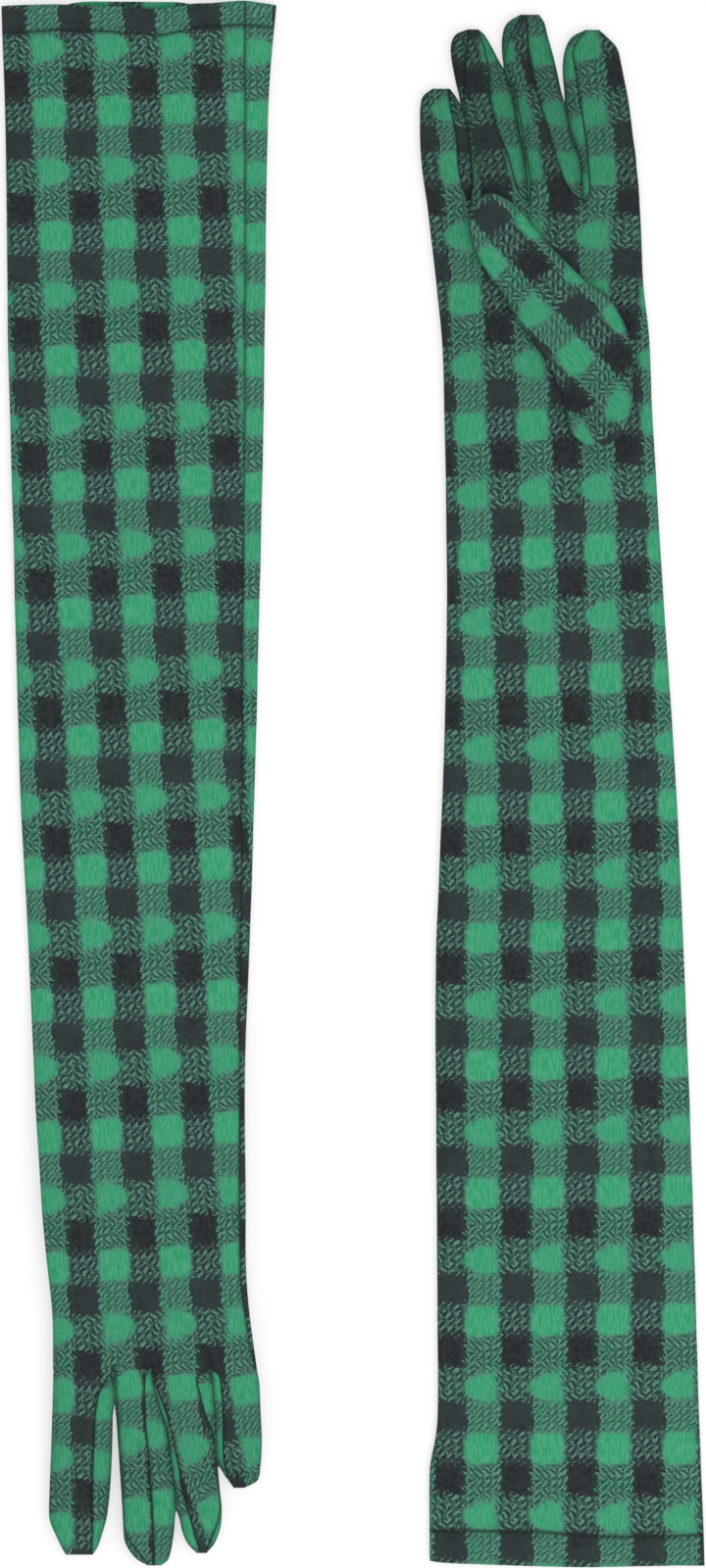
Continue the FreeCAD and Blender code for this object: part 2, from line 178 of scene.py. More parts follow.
def layCloth(glove, name, rows, pathAt, pointAt, wall=cloth["wall"]):
    # a grid of cloth: pathAt(row) gives the stops across it, and pointAt(row, *stop) x, y, z, u, v, shade
    paths = [pathAt(row) for row in rows]
    across, along = len(paths[0]) - 1, len(rows) - 1
    bm = bmesh.new()
    bmesh.ops.create_grid(bm, x_segments=across, y_segments=along, size=0.5)
    # each point's painted shade, which darkens the cloth's colour in its material
    shadeLayer = bm.verts.layers.float.new("seamShade")
    spot = {}
    for vert in bm.verts:
        i, j = round((vert.co.x + 0.5) * across), round((vert.co.y + 0.5) * along)
        x, y, z, u, v, shade = pointAt(rows[j], *paths[j][i])
        vert.co = Vector((x, y, max(z, cloth["floorGap"]))) * mm
        vert[shadeLayer] = shade
        spot[vert] = (u, v)
    printOn(bm, spot.get)
    layTurned(bm, glove)
    return thicken(makePiece(name, bm), wall)


def walk(legs):
    # (ply, x, leg) at every step of legs given as (ply, start, stop, steps)
    path = [(ply, x, k) for k, (ply, start, stop, steps) in enumerate(legs) for x in spread(start, stop, steps)]
    return path + [(legs[-1][0], legs[-1][2], len(legs) - 1)]


# stations are along, then across: edges left and right, the side seam, a column and a row of the check
rightGlove = {
    "side": "right", "turned": False, "seamPly": -1, "turningDepth": 15.2,
    "edges": [(-334, 32.8, 150.4), (-296, 32.7, 149), (-290, 33.2, 148.8), (-280, 35.3, 148.4), (-270, 36.2, 148),
        (-176, 35.8, 145.3), (-76, 35.5, 141.6), (0, 38.4, 138.1), (76, 40.2, 133.1), (151, 39.2, 128.5),
        (189, 38.1, 126.8), (214, 35.6, 124.2), (235, 33.2, 123.4), (250, 31.4, 122.6)],
    "sideSeam": [(-334, 46), (-189, 46.2), (0, 47.5), (147, 47.5), (200, 45.5), (235, 38.5), (250, 32.2)],
    "webs": (49.7, 74.6, 98.4), "webStarts": (244, 246, 243),
    "columnLine": [(-303, 83), (-194, 83.1), (-90, 82.8), (-30, 82.6), (79, 79.5), (134, 77.5), (188, 75.3),
        (240, 74.8), (250, 75)],
    "columnPitch": [(-303, 28.3), (-30, 27.6), (79, 27.1), (134, 26.7), (188, 26.9), (236, 28.1), (250, 28.8)],
    "rowLine": [(-312.8, 0), (-284.7, 1), (207.5, 19)],
    "rowTilt": [(-334, -0.014), (-305, -0.012), (-270, 0.008), (-90, 0.02), (30, 0.037), (90, 0.06), (150, 0.055),
        (200, 0.03), (250, 0)],
    "centre": [(-334, 3.7), (145, 3.7), (250, 3.7)], "seed": 3.1, "handShade": 0.2,
    "hemEdge": [(33, 1.5), (38, 0.9), (58, 0.1), (95, -0.9), (128, -0.5), (149, -0.1)],
    "underEdge": [(33, 1.3), (45, 0.2), (70, -0.8), (150, -0.8)],
    "stitchEdge": [(32, 4), (50, 4), (77, 3.7), (86, 3.2), (91, 2.5), (103, 1.9), (119, 1.5), (131, 1.6), (138, 1.9),
        (150, 2)],
}

leftGlove = {
    "side": "left", "turned": True, "seamPly": 1, "turningDepth": 12.6,
    "edges": [(-334, 32.8, 150.4), (-286, 36.4, 148.8), (-189, 37.8, 147.5), (-101, 39.4, 145.3), (0, 42, 142.4),
        (76, 44.5, 138.6), (126, 46.1, 136.1), (176, 45.8, 133.1), (202, 45.8, 130.9), (226, 44.2, 128.4),
        (250, 41, 127.9)],
    "sideSeam": [(-334, 46.2), (-189, 46.3), (0, 47.5), (147, 48.5), (206, 48.3), (227, 46.2), (242, 43.6),
        (250, 41.6)],
    "webs": (61, 86.4, 102.1), "webStarts": (239, 246, 246),
    "columnLine": [(-297, 102.4), (-134, 94.7), (30, 85.5), (194, 76.1), (250, 72.8)],
    "columnPitch": [(-334, 27.7), (0, 27), (145, 26.2), (250, 26.2)],
    "rowLine": [(-314.8, 0), (-209.5, 4), (-102.1, 8), (7, 12), (119.4, 16), (231, 20)],
    "rowTilt": [(-334, 0.02), (-240, 0.038), (-90, 0.042), (0, 0.052), (250, 0.055)],
    "centre": [(-334, 3.7), (60, 3.7), (80, 4.1), (140, 9.7), (160, 10.4), (250, 10.4)],
    "seed": 7.7, "handShade": 0.08,
    "hemEdge": [(33, 0.5), (40, -0.3), (46, -1.1), (53, -0.7), (61, 0), (69, 0.3), (75, 1.6), (81, 2.5), (90, 2.3),
        (99, 1.5), (108, 1.2), (118, 0.9), (126, 0.5), (135, 0.6), (150, 1)],
    "underEdge": [(33, 0.9), (46, 0), (61, 0.6), (68, 0.2), (74, -0.9), (84, -1.1), (104, -1.2), (116, -1.1),
        (124, 0.2), (135, 0.9), (150, 1.1)],
    "stitchEdge": [(33, -0.1), (41, -0.9), (46, -1.4), (53, -1), (61, -1.2), (65, -0.5), (69, 0.6), (73, 1.2),
        (81.5, 3), (89, 2.6), (99, 1.9), (110, 1.2), (127, 0.8), (135, 1.6), (150, 1.5)],
}

# the strip between the left glove's side seam and its folded edge, where the check starts afresh
sideStrip = {"columnAt": smoothLine([(-334, 40), (-150, 41), (0, 38), (100, 31), (250, 30)]), "lag": 3.9, "slip": 0.08}

tube = {
    "halfAt": smoothLine([(-334, 3.1), (-300, 3.3), (145, 3.3), (250, 3.2)]), "square": 7, "calm": 4,
    "soft": ((0.35, 46), (0.2, 19)), "web": 1.1, "webRun": 8, "shadeRun": (90, 230),
    # the side seam's groove, the painted shade along it, and where the groove grows shallower
    "seamGroove": ((1.1, 0.5), (0.3, 2.0)), "seamShade": (0.8, 0.5), "seamFade": (244, 250, 0.7),
    "steps": (14, 12, 8), "lastLeg": 8, "sleeveStep": 3.2, "handStep": 2.9, "insideStep": 7,
    "webRows": (13.2, 10.4, 7.8, 5.6, 4.0, 2.6, 1.6, 0.8, 0.3),
}

hem = {
    # the stitch line's groove and the painted shade along it, each as depth or darkness and width
    "depth": 10.6, "groove": (0.8, 0.7), "shade": ((1.1, 0.62), (0.35, 1.5)),
    "fade": (1.2, 4.0), "edgeRows": (0.25, 0.6, 1.1, 1.8), "stitchRows": (-1.2, -0.7, -0.35, 0, 0.35, 0.7, 1.2),
    "turnedRows": (0.15, 0.5, 1.2, 2.5, 4.5, 6.5, 8.5, 10.5, 12), "inwards": (0.8, 0.5, 1.2),
    "stitchSize": (2.2, 0.5, 0.42), "stitchPitch": 4.2, "stitchLift": 0.1, "girth": 242,
}


def prepareGlove(glove):
    glove["left"], glove["right"] = column(glove["edges"], 1), column(glove["edges"], 2)
    for key in ("sideSeam", "columnLine", "columnPitch", "rowLine", "rowTilt", "centre", "hemEdge", "underEdge",
                "stitchEdge"):
        glove[key + "At"] = smoothLine(glove[key])
    left, right = sides(glove, knuckles)
    glove["webShares"] = [(x - left) / (right - left) for x in glove["webs"]]


def printAt(glove, unrolled, y):
    # where the woven check stands at a point of the cloth rolled out flat: columns, rows
    across = unrolled - glove["columnLineAt"](y)
    return across / glove["columnPitchAt"](y), glove["rowLineAt"](y - glove["rowTiltAt"](y) * across)


def stripPrint(glove, x, y):
    # the same on the left glove's side strip
    lag = sideStrip["lag"] * (0.3 + 0.7 * ease(hemLine, hemLine + 9, y))
    return (x - sideStrip["columnAt"](y)) / glove["columnPitchAt"](y) + 6, printAt(glove, x, y - lag)[1]


def trunkHeight(glove, x, y, ply):
    left, right = sides(glove, y)
    across = acrossAt(x, left, right)
    rise = crown(across, tube["square"]) * (1 + 0.05 * (1 - across * across))
    for share, start in zip(glove["webShares"], glove["webStarts"]):
        if y > start - tube["webRun"]:
            rise *= 1 - ease(start, knuckles, y) * bell(x - left - share * (right - left), tube["web"])
    soft = sum(much * ripple(x, y, glove["seed"] + ply, size) for much, size in tube["soft"])
    level = tube["halfAt"](y) * rise + soft * crown(across, tube["calm"])
    # the hand is painted darker towards the fingers
    shade = glove["handShade"] * ease(*tube["shadeRun"], y)
    if ply == glove["seamPly"]:
        off = abs(x - glove["sideSeamAt"](y))
        start, stop, less = tube["seamFade"]
        level -= (1 - less * ease(start, stop, y)) * bells(off, tube["seamGroove"]) * crown(across, tube["calm"])
        # painted shade along the side seam's groove
        shade = max(shade, bells(off, [tube["seamShade"]]))
    stitchLine = hemLine + hem["depth"]  # straight here, bent in trunkPoint
    level -= bells(y - stitchLine, [hem["groove"]]) * crown(across, 5)
    # painted shade along the stitch line's groove
    shade = max(shade, *[bells(y - stitchLine, [mark]) for mark in hem["shade"]])
    level -= 0.5 * (1 - ease(hemLine, hemLine + 1.4, y))  # the hem's rounded fold
    return glove["centreAt"](y) + ply * level, shade


def ringPath(glove, y):
    # round the tube from the side seam to the side seam
    left, right = sides(glove, y)
    seam = glove["sideSeamAt"](y)
    a, b, c = [left + share * (right - left) for share in glove["webShares"]]
    wide, beside, narrow = tube["steps"]
    over = [(1, a, b, wide), (1, b, c, wide), (1, c, right, wide)]
    under = [(-1, right, c, wide), (-1, c, b, wide), (-1, b, a, wide)]
    if glove["seamPly"] > 0:
        return walk([(1, seam, a, beside), *over, *under, (-1, a, left, wide), (1, left, seam, narrow)])
    return walk([(-1, seam, left, narrow), (1, left, a, wide), *over, *under, (-1, a, seam, beside)])


def trunkPoint(glove, y, ply, x, leg):
    left, right = sides(glove, y)
    z, shade = trunkHeight(glove, x, y, ply)
    seamOnTop = glove["seamPly"] > 0
    strip = leg == (tube["lastLeg"] if seamOnTop else 0)
    if strip and seamOnTop:
        u, v = stripPrint(glove, x, y)
    elif ply > 0:
        u, v = printAt(glove, x, y)
    elif strip:
        u, v = printAt(glove, 2 * left - x, y)
    else:
        u, v = printAt(glove, 2 * right - x, y)
        if seamOnTop:  # eased so that the print meets the strip beyond the fold
            done = (right - x) / (right - left)
            endU, endV = printAt(glove, 2 * right - left, y)
            goalU, goalV = stripPrint(glove, left, y)
            slip = sideStrip["slip"] * (1 - done) * (1 - ease(hemLine + 2, hemLine + 8, y))
            u, v = u + (goalU - endU) * done, v + (goalV - endV) * done - slip
    # the hem's cut edge and its stitch line wander a little
    depth = (y - hemLine) / hem["depth"]
    corner = crown(2 * (x - left) / (right - left) - 1, 24)
    upper, lower = glove["hemEdgeAt"](x), glove["underEdgeAt"](x)
    edge = (upper + lower) / 2 + (upper - lower) / 2 * ply * corner
    line = glove["stitchEdgeAt"](x)
    bend = (edge + (line - edge) * min(1, depth)) * (1 - ease(*hem["fade"], depth))
    if ply > 0 and depth < hem["fade"][1]:
        v = v + printAt(glove, x, y + bend)[1] - printAt(glove, x, y)[1]
    swell = 0.25 * ripple(0, y, glove["seed"] + (5 if x > 80 else 9), 30)  # each edge sways on its own
    return x + swell, y + bend, z, u, v, shade


def rowsBetween(start, stop, step, extra=()):
    # even rows, and closer ones where the cloth needs them
    count = round((stop - start) / step)
    rows = {start + (stop - start) * k / count for k in range(count + 1)}
    return sorted(rows | {e for e in extra if start < e < stop})


def rolledOut(start, stop, count, widthAt, folds, halfAt):
    # cloth rolled out flat: its widest row, its length and its area; a fold turns round in a half circle
    step = (stop - start) / count
    rows = [start + (k + 0.5) * step for k in range(count)]
    widths = [widthAt(y) + folds * (math.pi - 2) * halfAt(y) for y in rows]
    return {"flat": (max(10, *widths) * mm, (stop - start) * mm), "area": sum(widths) * step * mm * mm}


def tubeCut(glove, start, stop):
    return rolledOut(start, stop, 80, lambda y: 2 * (glove["right"](y) - glove["left"](y)), 2, tube["halfAt"])


def hinge(glove, y):
    point = Vector((midLine, y, 0)) * mm
    return halfTurn @ point if glove["turned"] else point


def register(piece, glove, bodies, nodes, fold=()):
    # the body a piece moves with, and the nodes it stands for; a piece that spans two bodies and a fold is only fixed
    # where it lies
    side = glove["side"]
    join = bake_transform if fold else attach
    join(piece, *[f"{side}_{body}_body" for body in bodies], *[hinge(glove, y) for y in fold])
    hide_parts(*[f"{side}_{node}" for node in nodes])


def makeSleeve(glove):
    side = glove["side"]
    prepareGlove(glove)
    hemRows = [hemLine + d for d in hem["edgeRows"]] + [hemLine + hem["depth"] + d for d in hem["stitchRows"]]
    sleeveRows = rowsBetween(hemLine, halfway, tube["sleeveStep"], hemRows)
    lower = layCloth(glove, f"{side}_sleeve_cloth", sleeveRows, partial(ringPath, glove), partial(trunkPoint, glove))
    register(lower, glove, ["upper_sleeve", "forearm"], ["upper_sleeve", "forearm"], elbowFold)
    tubeCut(glove, hemLine, halfway)
    closeRows = [knuckles - d for d in tube["webRows"]] + [wristLine + 1.5 * k for k in range(-3, 7)]
    handRows = rowsBetween(halfway, knuckles, tube["handStep"], closeRows)
    upper = layCloth(glove, f"{side}_hand_cloth", handRows, partial(ringPath, glove), partial(trunkPoint, glove))
    register(upper, glove, ["forearm", "hand"], ["hand"], wristFold)
    tubeCut(glove, halfway, knuckles)
    print(side, "sleeve and hand laid out")
    return [lower, upper]


# each row is along, left edge, right edge; the seams and the middles of green squares are along, across
rightFingers = {"little": {
    "rows": [(250, 31.4, 49.5), (258, 30.2, 50.4), (266, 29.2, 50.2), (275, 28.7, 49.5), (284, 28.6, 47.9),
        (290, 28.8, 45.8), (294.5, 30, 43.8), (297.6, 34, 41.4)],
    "rightSeam": [(250, 49.2), (253, 47.2), (264.6, 45), (274, 44.4), (282, 43.3), (289, 41.8), (297, 40.6)],
    "greens": [(263.8, 44), (289, 41.3)], "deep": 0.3, "count": -1, "rightStrip": (0.45, 0.1),
}, "ring": {
    "rows": [(250, 49.9, 74.4), (258, 50.8, 74), (264.6, 50.6, 73.2), (277, 49.8, 71.2), (290, 46.6, 68.8),
        (298, 44.5, 67), (304, 43.2, 64.9), (311.6, 41.9, 61.4), (317, 42, 58.5), (321, 44.2, 56), (323, 49, 53.6)],
    "leftSeam": [(250, 50.2), (260, 51.3), (290, 47.2), (323, 49.4)],
    "rightSeam": [(250, 74.1), (253, 70.9), (260.4, 68.5), (268.8, 66.4), (275.5, 63.4), (282.2, 60.9),
        (290.6, 59.2), (297, 58.2), (302.4, 58.2), (310.8, 57), (318, 55.2), (323, 53.2)],
    "greens": [(265.5, 73.4), (291, 67.6), (314, 61.5)], "deep": 0.46, "count": 0, "leftStrip": (0.5, 0),
}, "middle": {
    "rows": [(250, 74.8, 98.2), (256.2, 75, 97.4), (264.6, 73.8, 97.2), (268.8, 73.1, 96.2), (275.5, 72, 94.2),
        (286.4, 69.9, 91.2), (298.2, 67.4, 88.7), (304, 65.4, 87.5), (311.6, 63.8, 85.7), (320.9, 64, 83.1),
        (326, 66.2, 81.8), (329.3, 71.5, 79.5)],
    "leftSeam": [(250, 75.1), (254, 76), (263.8, 75.2), (273.8, 73.2), (285.6, 71.3), (296.5, 69.2), (304, 66.4),
        (312, 64.6), (329, 71.8)],
    "rightSeam": [(250, 97.9), (252, 94.6), (255.4, 91.8), (263.8, 88.2), (272.2, 85.7), (280.6, 83.2), (289, 80.6),
        (297.4, 78.5), (304.9, 76.9), (311.6, 75.6), (320, 74.6), (329, 74.2)],
    "greens": [(263.8, 73.2), (287, 69.3), (313, 61.8)], "deep": 0.46, "count": 0, "leftStrip": (0, 0.2),
}, "index": {
    "rows": [(250, 98.6, 122.6), (256, 98.1, 122.2), (264.6, 98.1, 121.3), (268.8, 97, 121), (277.2, 93.8, 119.8),
        (284, 92.2, 119), (294, 90.7, 117.6), (302.4, 89.8, 115.9), (309, 89.8, 114.6), (315.2, 91, 112.9),
        (320, 94, 108.4), (322.8, 99.5, 105.2)],
    "leftSeam": [(250, 98.9), (252.4, 101), (262, 100.7), (270.5, 100), (278.9, 99.1), (286.4, 97.9), (294, 96.6),
        (299.9, 95.8), (306.6, 94.9), (314, 94.2), (322.8, 99.8)],
    "greens": [(262, 105), (287.3, 101.7), (315.8, 98.3)], "deep": 0.36, "count": 1, "leftStrip": (0, 0.28),
}}

leftFingers = {"little": {
    "rows": [(250, 41, 60.8), (256.2, 39.9, 59.7), (268.8, 39.4, 59), (278.9, 38.9, 58.5), (287.3, 39.1, 58),
        (291.5, 39.5, 57), (295.7, 40, 54.8), (298.4, 41.4, 52.8), (301, 46.5, 51)],
    "rightSeam": [(250, 60.5), (252, 57.3), (260.4, 55.9), (268.8, 55.4), (278.9, 55.4), (288.1, 55.2), (295, 53.6),
        (301, 50.4)],
    "greens": [(257.9, 45.5), (284.8, 40.8)], "count": -1, "rightStrip": (0, 0.05),
}, "ring": {
    "rows": [(250, 61.2, 86.2), (256, 60.2, 85.2), (258.7, 59.9, 84.5), (267.1, 59.4, 82.1), (275.5, 58.9, 79.6),
        (287.3, 58.3, 77.8), (294, 57.6, 77), (302.4, 56.8, 76.1), (309.1, 56.1, 75.5), (315, 56.2, 74),
        (319.2, 56.9, 73.1), (325, 59.3, 70.6), (328.9, 62.6, 66.8)],
    "leftSeam": [(250, 61.5), (252.4, 66.6), (260.4, 65.3), (266, 64), (270.5, 62.6), (276, 60.2), (283, 59),
        (310, 56.7), (328.9, 63)],
    "rightSeam": [(250, 85.9), (259.6, 83.2), (266.3, 80.6), (273.8, 78.1), (282.2, 76.2), (292.3, 74.3),
        (298.2, 73.5), (302.4, 72.7), (309.1, 70.6), (319.2, 68), (328.9, 65)],
    "greens": [(256.2, 72.5), (283.9, 68.2), (310.8, 59.5)], "count": 0, "leftStrip": (0, -0.2),
    "rightStrip": (0, -0.3),
}, "middle": {
    "rows": [(250, 86.6, 101.9), (256, 85.6, 101.8), (258.7, 84.8, 101.7), (267.1, 82.4, 101.3), (275.5, 80, 100.8),
        (287.3, 78.1, 100), (298.2, 76.6, 99.3), (309.1, 76, 98.6), (319.2, 76.4, 98.1), (323.4, 77, 97.7),
        (328.4, 77.9, 95.2), (332, 79.2, 91.8), (334.2, 82, 87.6)],
    "leftSeam": [(250, 86.9), (253, 88.6), (260.4, 89), (273.8, 88.6), (285.6, 87.4), (298.2, 86.5), (310.8, 85.7),
        (323.4, 85.3), (334.2, 84.8)],
    "rightSeam": [(250, 101.6), (270, 100.4), (298, 98.6), (319, 97.4), (334.2, 87.3)],
    "greens": [(256.2, 96.3), (280.6, 95.1), (311.6, 93.2)], "count": 1, "leftStrip": (0, 0.1),
}, "index": {
    "rows": [(250, 102.3, 127.9), (262.9, 102.3, 128.2), (268.8, 102.5, 128.4), (285.6, 102.9, 129),
        (300.7, 103.7, 129.6), (312.5, 105, 129.9), (316, 105.8, 129.3), (321.7, 107.5, 126.8), (326, 109, 124.8),
        (329.6, 111.2, 122.8)],
    "leftSeam": [(250, 102.6), (255, 105.5), (259.6, 108.3), (268.8, 110), (277.2, 110.5), (287.3, 111),
        (302.4, 111.3), (319.2, 111.3), (329.6, 111.7)],
    "greens": [(261, 125.3), (288, 126.3), (318, 125.8)], "count": 2, "leftStrip": (0, -0.12),
}}

digit = {
    "rows": 34, "tipCloser": 1.5, "half": 3.2, "square": 4.5, "soft": (0.3, 17), "calm": 3,
    # each finger seam's groove, and the painted shade along it
    "seamGroove": ((0.9, 0.5), (0.25, 1.6)), "seamShade": (1.15, 0.5), "edgeGap": 0.25,
    "hiddenInset": 1.6, "rootRun": 7, "tipRun": 9.0,
    # the painted shade at a finger's free edges and at edges pressed against the next is given as darkness and power
    "droop": (4.4, 20), "deep": 0.15, "edgeShade": (0.25, 6), "pressedShade": (0.6, 9), "touch": (0.8, 1.4, 0.12),
    "faceSteps": 16, "stripSteps": (10, 6),
}


seamKeys = ("leftSeam", "rightSeam")


def prepareFingers(glove, fingers):
    row = list(fingers.values())  # from the little finger on
    rootColumn, rootRow = glove["columnLineAt"](knuckles), glove["rowLineAt"](knuckles)
    for finger in row:
        finger["left"], finger["right"] = column(finger["rows"], 1), column(finger["rows"], 2)
        finger["tip"] = finger["rows"][-1][0]
        root = rootColumn + finger["count"] * glove["columnPitchAt"](knuckles)
        finger["columnAt"] = smoothLine([(knuckles, root), *finger["greens"]])
        squares = [(y, math.ceil(rootRow) + k) for k, (y, x) in enumerate(finger["greens"])]
        finger["rowAt"] = smoothLine([(knuckles, rootRow), *squares])
        for key in seamKeys:
            if key in finger:
                finger[key + "At"] = smoothLine(finger[key])
    for first, second in zip(row, row[1:]):
        first["right"], second["left"] = pressTogether(first["right"], second["left"])


def pressTogether(nearEdge, farEdge):
    # where two fingers lie side by side their edges touch
    near, far, lap = digit["touch"]

    def meet(y, own, over):
        a, b = nearEdge(y), farEdge(y)
        pull = 1 - ease(near, far, b - a)
        return own(y) + pull * ((a + b) / 2 + over - own(y))

    return (lambda y: meet(y, nearEdge, lap)), (lambda y: meet(y, farEdge, -lap))


def seamAt(finger, y, key, ply):
    low, high = sides(finger, y)
    gap = digit["edgeGap"]
    if ply < 0:  # underneath it runs just inside the edge
        inset = min(digit["hiddenInset"], gap + 0.3 * (y - knuckles))
        return low + inset if key == "leftSeam" else high - inset
    return min(high - gap, max(low + gap, finger[key + "At"](y)))


def fingerHeight(glove, finger, x, y, ply):
    left, right = sides(finger, y)
    across = acrossAt(x, left, right)
    rootLeft, rootRight = sides(finger, knuckles)
    here = rootLeft + (x - left) / (right - left) * (rootRight - rootLeft)
    here = min(glove["right"](knuckles), max(glove["left"](knuckles), here))
    rootCentre = glove["centreAt"](knuckles)
    rootLevel = ply * (trunkHeight(glove, here, knuckles, ply)[0] - rootCentre)
    much, size = digit["soft"]
    calm = crown(across, digit["calm"])
    own = digit["half"] * crown(across, digit["square"])
    own += much * ripple(x, y, glove["seed"] + ply, size) * calm
    for key in seamKeys:
        if key in finger:
            own -= bells(abs(x - seamAt(finger, y, key, ply)), digit["seamGroove"]) * calm
    t = ease(knuckles, knuckles + digit["rootRun"], y)
    level = (1 - t) * rootLevel + t * own
    tipRun = digit["tipRun"]
    if y > finger["tip"] - tipRun:
        level *= crown((y - finger["tip"] + tipRun) / tipRun, 2.6)
    low, past = digit["droop"]
    droop = low * ease(knuckles, finger["tip"] + past, y) if glove["turned"] else 0
    return rootCentre - droop + ply * level


def fingerPoint(glove, finger, strip, y, ply, x, leg):
    left, right = sides(finger, y)
    z = fingerHeight(glove, finger, x, y, ply)
    share = acrossAt(x, left, right)
    # the finger starts as dark as the hand at the knuckles and is painted darker over the first 12 mm to its own
    # amount
    shade = glove["handShade"]
    shade = shade + (finger.get("deep", digit["deep"]) - shade) * ease(knuckles, knuckles + 12, y)
    # painted shade towards each finger's rounded edges, darker where it lies against the next finger
    besideFinger = ("leftSeam" if share < 0 else "rightSeam") in finger
    dark, power = digit["pressedShade" if besideFinger else "edgeShade"]
    shade += dark * abs(share) ** power
    # painted shade along each finger seam's groove, fading in past the knuckles
    for key in seamKeys:
        if key in finger:
            mark = bells(x - seamAt(finger, y, key, ply), [digit["seamShade"]])
            shade = max(shade, mark * ease(knuckles, knuckles + 3, y))
    pitch = glove["columnPitchAt"](knuckles)
    if strip:
        edge = right if strip == "rightSeam" else left
        unrolled = x if ply > 0 else 2 * edge - x
        nudge = finger.get("rightStrip" if strip == "rightSeam" else "leftStrip", (0, 0))
        u = (unrolled - (edge + seamAt(finger, y, strip, 1)) / 2) / pitch + nudge[0]
        return x, y, z, u, finger["rowAt"](y) + nudge[1], shade
    unrolled = x if ply > 0 else 2 * (left if "rightSeam" in finger else right) - x
    line = finger["columnAt"]
    slope = (line(y + 4) - line(y - 4)) / 8  # the column's lean, which the rows follow
    across = unrolled - line(y)
    return x, y, z, across / pitch + finger["count"], finger["rowAt"](y + slope * across), shade


def makeFinger(glove, fingers, key):
    side, finger = glove["side"], fingers[key]
    left, right = finger["left"], finger["right"]
    length = finger["tip"] - knuckles
    count, power, face = digit["rows"], digit["tipCloser"], digit["faceSteps"]
    rows = [knuckles + length * (1 - (1 - k / count) ** power) for k in range(count + 1)]

    def seam(y, name, ply):
        return seamAt(finger, y, name, ply)

    def roundRight(name, over, under):
        # from a seam over to the right edge and back underneath
        return lambda y: [(1, seam(y, name, 1), right(y), over), (-1, right(y), seam(y, name, -1), under)]

    def roundLeft(name, over, under):
        return lambda y: [(-1, seam(y, name, -1), left(y), under), (1, left(y), seam(y, name, 1), over)]

    if key == "index":
        parts = [("folded_face", roundRight("leftSeam", face, face), None)]
    elif key == "little":
        parts = [("folded_face", roundLeft("rightSeam", face, face), None)]
    else:
        upFace, downFace = ("back_face", "palm_face") if glove["turned"] else ("palm_face", "back_face")
        parts = [(upFace, lambda y: [(1, seam(y, "leftSeam", 1), seam(y, "rightSeam", 1), face)], None),
                 (downFace, lambda y: [(-1, seam(y, "rightSeam", -1), seam(y, "leftSeam", -1), face)], None)]
    if "leftSeam" in finger:
        parts.append(("little_side_fourchette", roundLeft("leftSeam", *digit["stripSteps"]), "leftSeam"))
    if "rightSeam" in finger:
        parts.append(("index_side_fourchette", roundRight("rightSeam", *digit["stripSteps"]), "rightSeam"))
    pieces = []
    for part, legs, strip in parts:
        node = f"{key}_{part}"
        pointAt = partial(fingerPoint, glove, finger, strip)
        piece = layCloth(glove, f"{side}_{node}_cloth", rows, lambda y: walk(legs(y)), pointAt)
        register(piece, glove, ["hand", key + "_finger"], [node], knuckleFold)
        folds = 1 if strip or part == "folded_face" else 0
        size = rolledOut(knuckles, finger["tip"], 40, lambda y: sum(abs(b - a) for ply, a, b, steps in legs(y)),
                         folds, lambda y: digit["half"])
        pieces.append(piece)
    return pieces


thumb = {
    # left and right edge, x and y each, from the base to the tip
    "rows": [(99.5, 144.6, 108.8, 145.2), (93.6, 149.4, 114.6, 149.4), (91.2, 157, 118.6, 158.8),
        (89.4, 166, 119.7, 171), (84, 177.4, 118.9, 185.4), (77, 188.4, 116.2, 195.6),
        (69.6, 199.4, 109.4, 207.6), (63.2, 209.8, 99.9, 214.4), (57.8, 217.4, 92, 222),
        (53.2, 225, 84.6, 229.6), (50.5, 232.5, 78, 237), (49.3, 240, 72.8, 243.6),
        (50.6, 246.8, 68.4, 247.8), (54, 250.8, 64, 250.6), (57.4, 252.2, 61, 252)],
    "along": 60, "across": 22, "half": 2.75, "square": 4.5, "soft": (0.25, 18),
    "level": {"right": 10.9, "left": 3.15}, "shift": {"right": (0, 0), "left": (4, 0)},
    "printTurn": 43, "printAt": (95.1, 181.6), "printRow": 3, "column": 27, "row": 27.2,
    "flat": (88, 127), "area": 7860,  # both faces as drawn, and the turn of their edges
}


